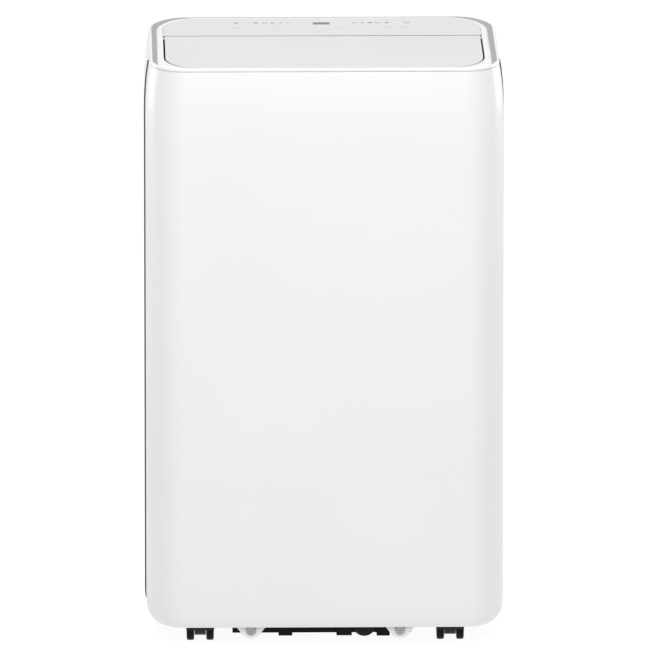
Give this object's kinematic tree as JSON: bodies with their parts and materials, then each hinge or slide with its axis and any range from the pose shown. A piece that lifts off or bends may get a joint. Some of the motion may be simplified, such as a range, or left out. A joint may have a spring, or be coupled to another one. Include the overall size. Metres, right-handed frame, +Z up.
{
  "type": "portable air conditioner",
  "caption": "Tall white room air conditioner on swivel casters, with a lifting louver flap and touch panel on top and intake grilles and a round exhaust outlet at the rear.",
  "frame": {"origin": "on the floor, under the middle of the cabinet's box", "axes": "+Z up, the front faces -Y, +X to the right of someone who looks at the front"},
  "size_m": [0.467, 0.397, 0.765],
  "materials": {
    "white_shell": "semi-gloss moulded ABS, fine texture",
    "top_panel": "satin light grey moulded ABS",
    "display": "smoked glossy window",
    "circuit_board": "green solder mask",
    "black_trim": "fine-textured black polypropylene",
    "caster_wheel": "hard black nylon",
    "inner_plastic": "plain grey moulding",
    "filter": "dark frame with fine mesh",
    "coil": "bare aluminium fins",
    "copper_pipe": "drawn copper tube",
    "motor_steel": "zinc plated sheet",
    "screw_steel": "nickel plated screw",
    "black_paint": "satin black paint",
    "rubber": "moulded rubber"
  },
  "bodies": {
    "root": {"accumulator": "black_paint", "base_pan": "black_trim", "bottom_drain_cap": "rubber", "capillary_tube": "copper_pipe", "compressor": "black_paint", "compressor_mount_1": "rubber", "compressor_mount_2": "rubber", "compressor_mount_3": "rubber", "condenser_coil": "coil", "condenser_fan_housing": "inner_plastic", "condenser_fan_motor": "motor_steel", "control_board": "circuit_board", "control_panel": "top_panel", "cord_gland": "black_trim", "cord_hook_lower": "white_shell", "cord_hook_upper": "white_shell", "discharge_pipe": "copper_pipe", "display_window": "display", "drain_tray": "inner_plastic", "electric_box": "motor_steel", "evaporator_coil": "coil", "evaporator_fan_housing": "inner_plastic", "evaporator_fan_motor": "motor_steel", "exhaust_collar": "white_shell", "exhaust_duct": "inner_plastic", "exhaust_grille": "white_shell", "front_panel": "white_shell", "front_screw_left": "screw_steel", "front_screw_right": "screw_steel", "handle_left": "white_shell", "handle_right": "white_shell", "louver_motor": "inner_plastic", "lower_intake_grille": "white_shell", "outlet_duct": "inner_plastic", "outlet_frame": "inner_plastic", "outlet_grille": "black_trim", "rear_cabinet": "white_shell", "rear_drain_plug": "rubber", "splash_motor": "motor_steel", "suction_pipe": "copper_pipe", "top_cover": "white_shell", "upper_intake_grille": "white_shell"},
    "flap": {"louver_flap": "top_panel"},
    "upper_filter_tray": {"upper_filter": "filter"},
    "lower_filter_tray": {"lower_filter": "filter"},
    "evaporator_fan": {"evaporator_fan_wheel": "black_trim"},
    "condenser_fan": {"condenser_fan_wheel": "black_trim"},
    "splash_rotor": {"splash_wheel": "black_trim"},
    "swivel_front_left": {"caster_fork_front_left": "black_trim"},
    "wheels_front_left": {"caster_wheel_front_left_left": "caster_wheel", "caster_wheel_front_left_right": "caster_wheel"},
    "swivel_front_right": {"caster_fork_front_right": "black_trim"},
    "wheels_front_right": {"caster_wheel_front_right_left": "caster_wheel", "caster_wheel_front_right_right": "caster_wheel"},
    "swivel_rear_left": {"caster_fork_rear_left": "black_trim"},
    "wheels_rear_left": {"caster_wheel_rear_left_left": "caster_wheel", "caster_wheel_rear_left_right": "caster_wheel"},
    "swivel_rear_right": {"caster_fork_rear_right": "black_trim"},
    "wheels_rear_right": {"caster_wheel_rear_right_left": "caster_wheel", "caster_wheel_rear_right_right": "caster_wheel"}
  },
  "joints": [
    {"name": "flap_hinge", "type": "hinge", "parent": "root", "child": "flap", "pos_m": [0, 0.055, 0.7579], "axis": [-1, 0, 0], "range_deg": [0, 65]},
    {"name": "upper_filter_slide", "type": "slide", "parent": "root", "child": "upper_filter_tray", "axis": [1, 0, 0], "range_m": [0, 0.34]},
    {"name": "lower_filter_slide", "type": "slide", "parent": "root", "child": "lower_filter_tray", "axis": [1, 0, 0], "range_m": [0, 0.34]},
    {"name": "evaporator_fan_spin", "type": "hinge", "parent": "root", "child": "evaporator_fan", "pos_m": [0, 0.061, 0.592], "axis": [0, 1, 0], "continuous": true},
    {"name": "condenser_fan_spin", "type": "hinge", "parent": "root", "child": "condenser_fan", "pos_m": [0, 0.061, 0.18], "axis": [0, 1, 0], "continuous": true},
    {"name": "splash_wheel_spin", "type": "hinge", "parent": "root", "child": "splash_rotor", "pos_m": [0.055, -0.03, 0.045], "axis": [0, 1, 0], "continuous": true},
    {"name": "swivel_front_left_turn", "type": "hinge", "parent": "root", "child": "swivel_front_left", "pos_m": [-0.163, -0.14, 0.049], "axis": [0, 0, 1], "continuous": true},
    {"name": "swivel_front_right_turn", "type": "hinge", "parent": "root", "child": "swivel_front_right", "pos_m": [0.163, -0.14, 0.049], "axis": [0, 0, 1], "continuous": true},
    {"name": "swivel_rear_left_turn", "type": "hinge", "parent": "root", "child": "swivel_rear_left", "pos_m": [-0.163, 0.14, 0.049], "axis": [0, 0, 1], "continuous": true},
    {"name": "swivel_rear_right_turn", "type": "hinge", "parent": "root", "child": "swivel_rear_right", "pos_m": [0.163, 0.14, 0.049], "axis": [0, 0, 1], "continuous": true},
    {"name": "wheels_front_left_roll", "type": "hinge", "parent": "swivel_front_left", "child": "wheels_front_left", "pos_m": [-0.163, -0.152, 0.016], "axis": [1, 0, 0], "continuous": true},
    {"name": "wheels_front_right_roll", "type": "hinge", "parent": "swivel_front_right", "child": "wheels_front_right", "pos_m": [0.163, -0.152, 0.016], "axis": [1, 0, 0], "continuous": true},
    {"name": "wheels_rear_left_roll", "type": "hinge", "parent": "swivel_rear_left", "child": "wheels_rear_left", "pos_m": [-0.163, 0.128, 0.016], "axis": [1, 0, 0], "continuous": true},
    {"name": "wheels_rear_right_roll", "type": "hinge", "parent": "swivel_rear_right", "child": "wheels_rear_right", "pos_m": [0.163, 0.128, 0.016], "axis": [1, 0, 0], "continuous": true}
  ]
}
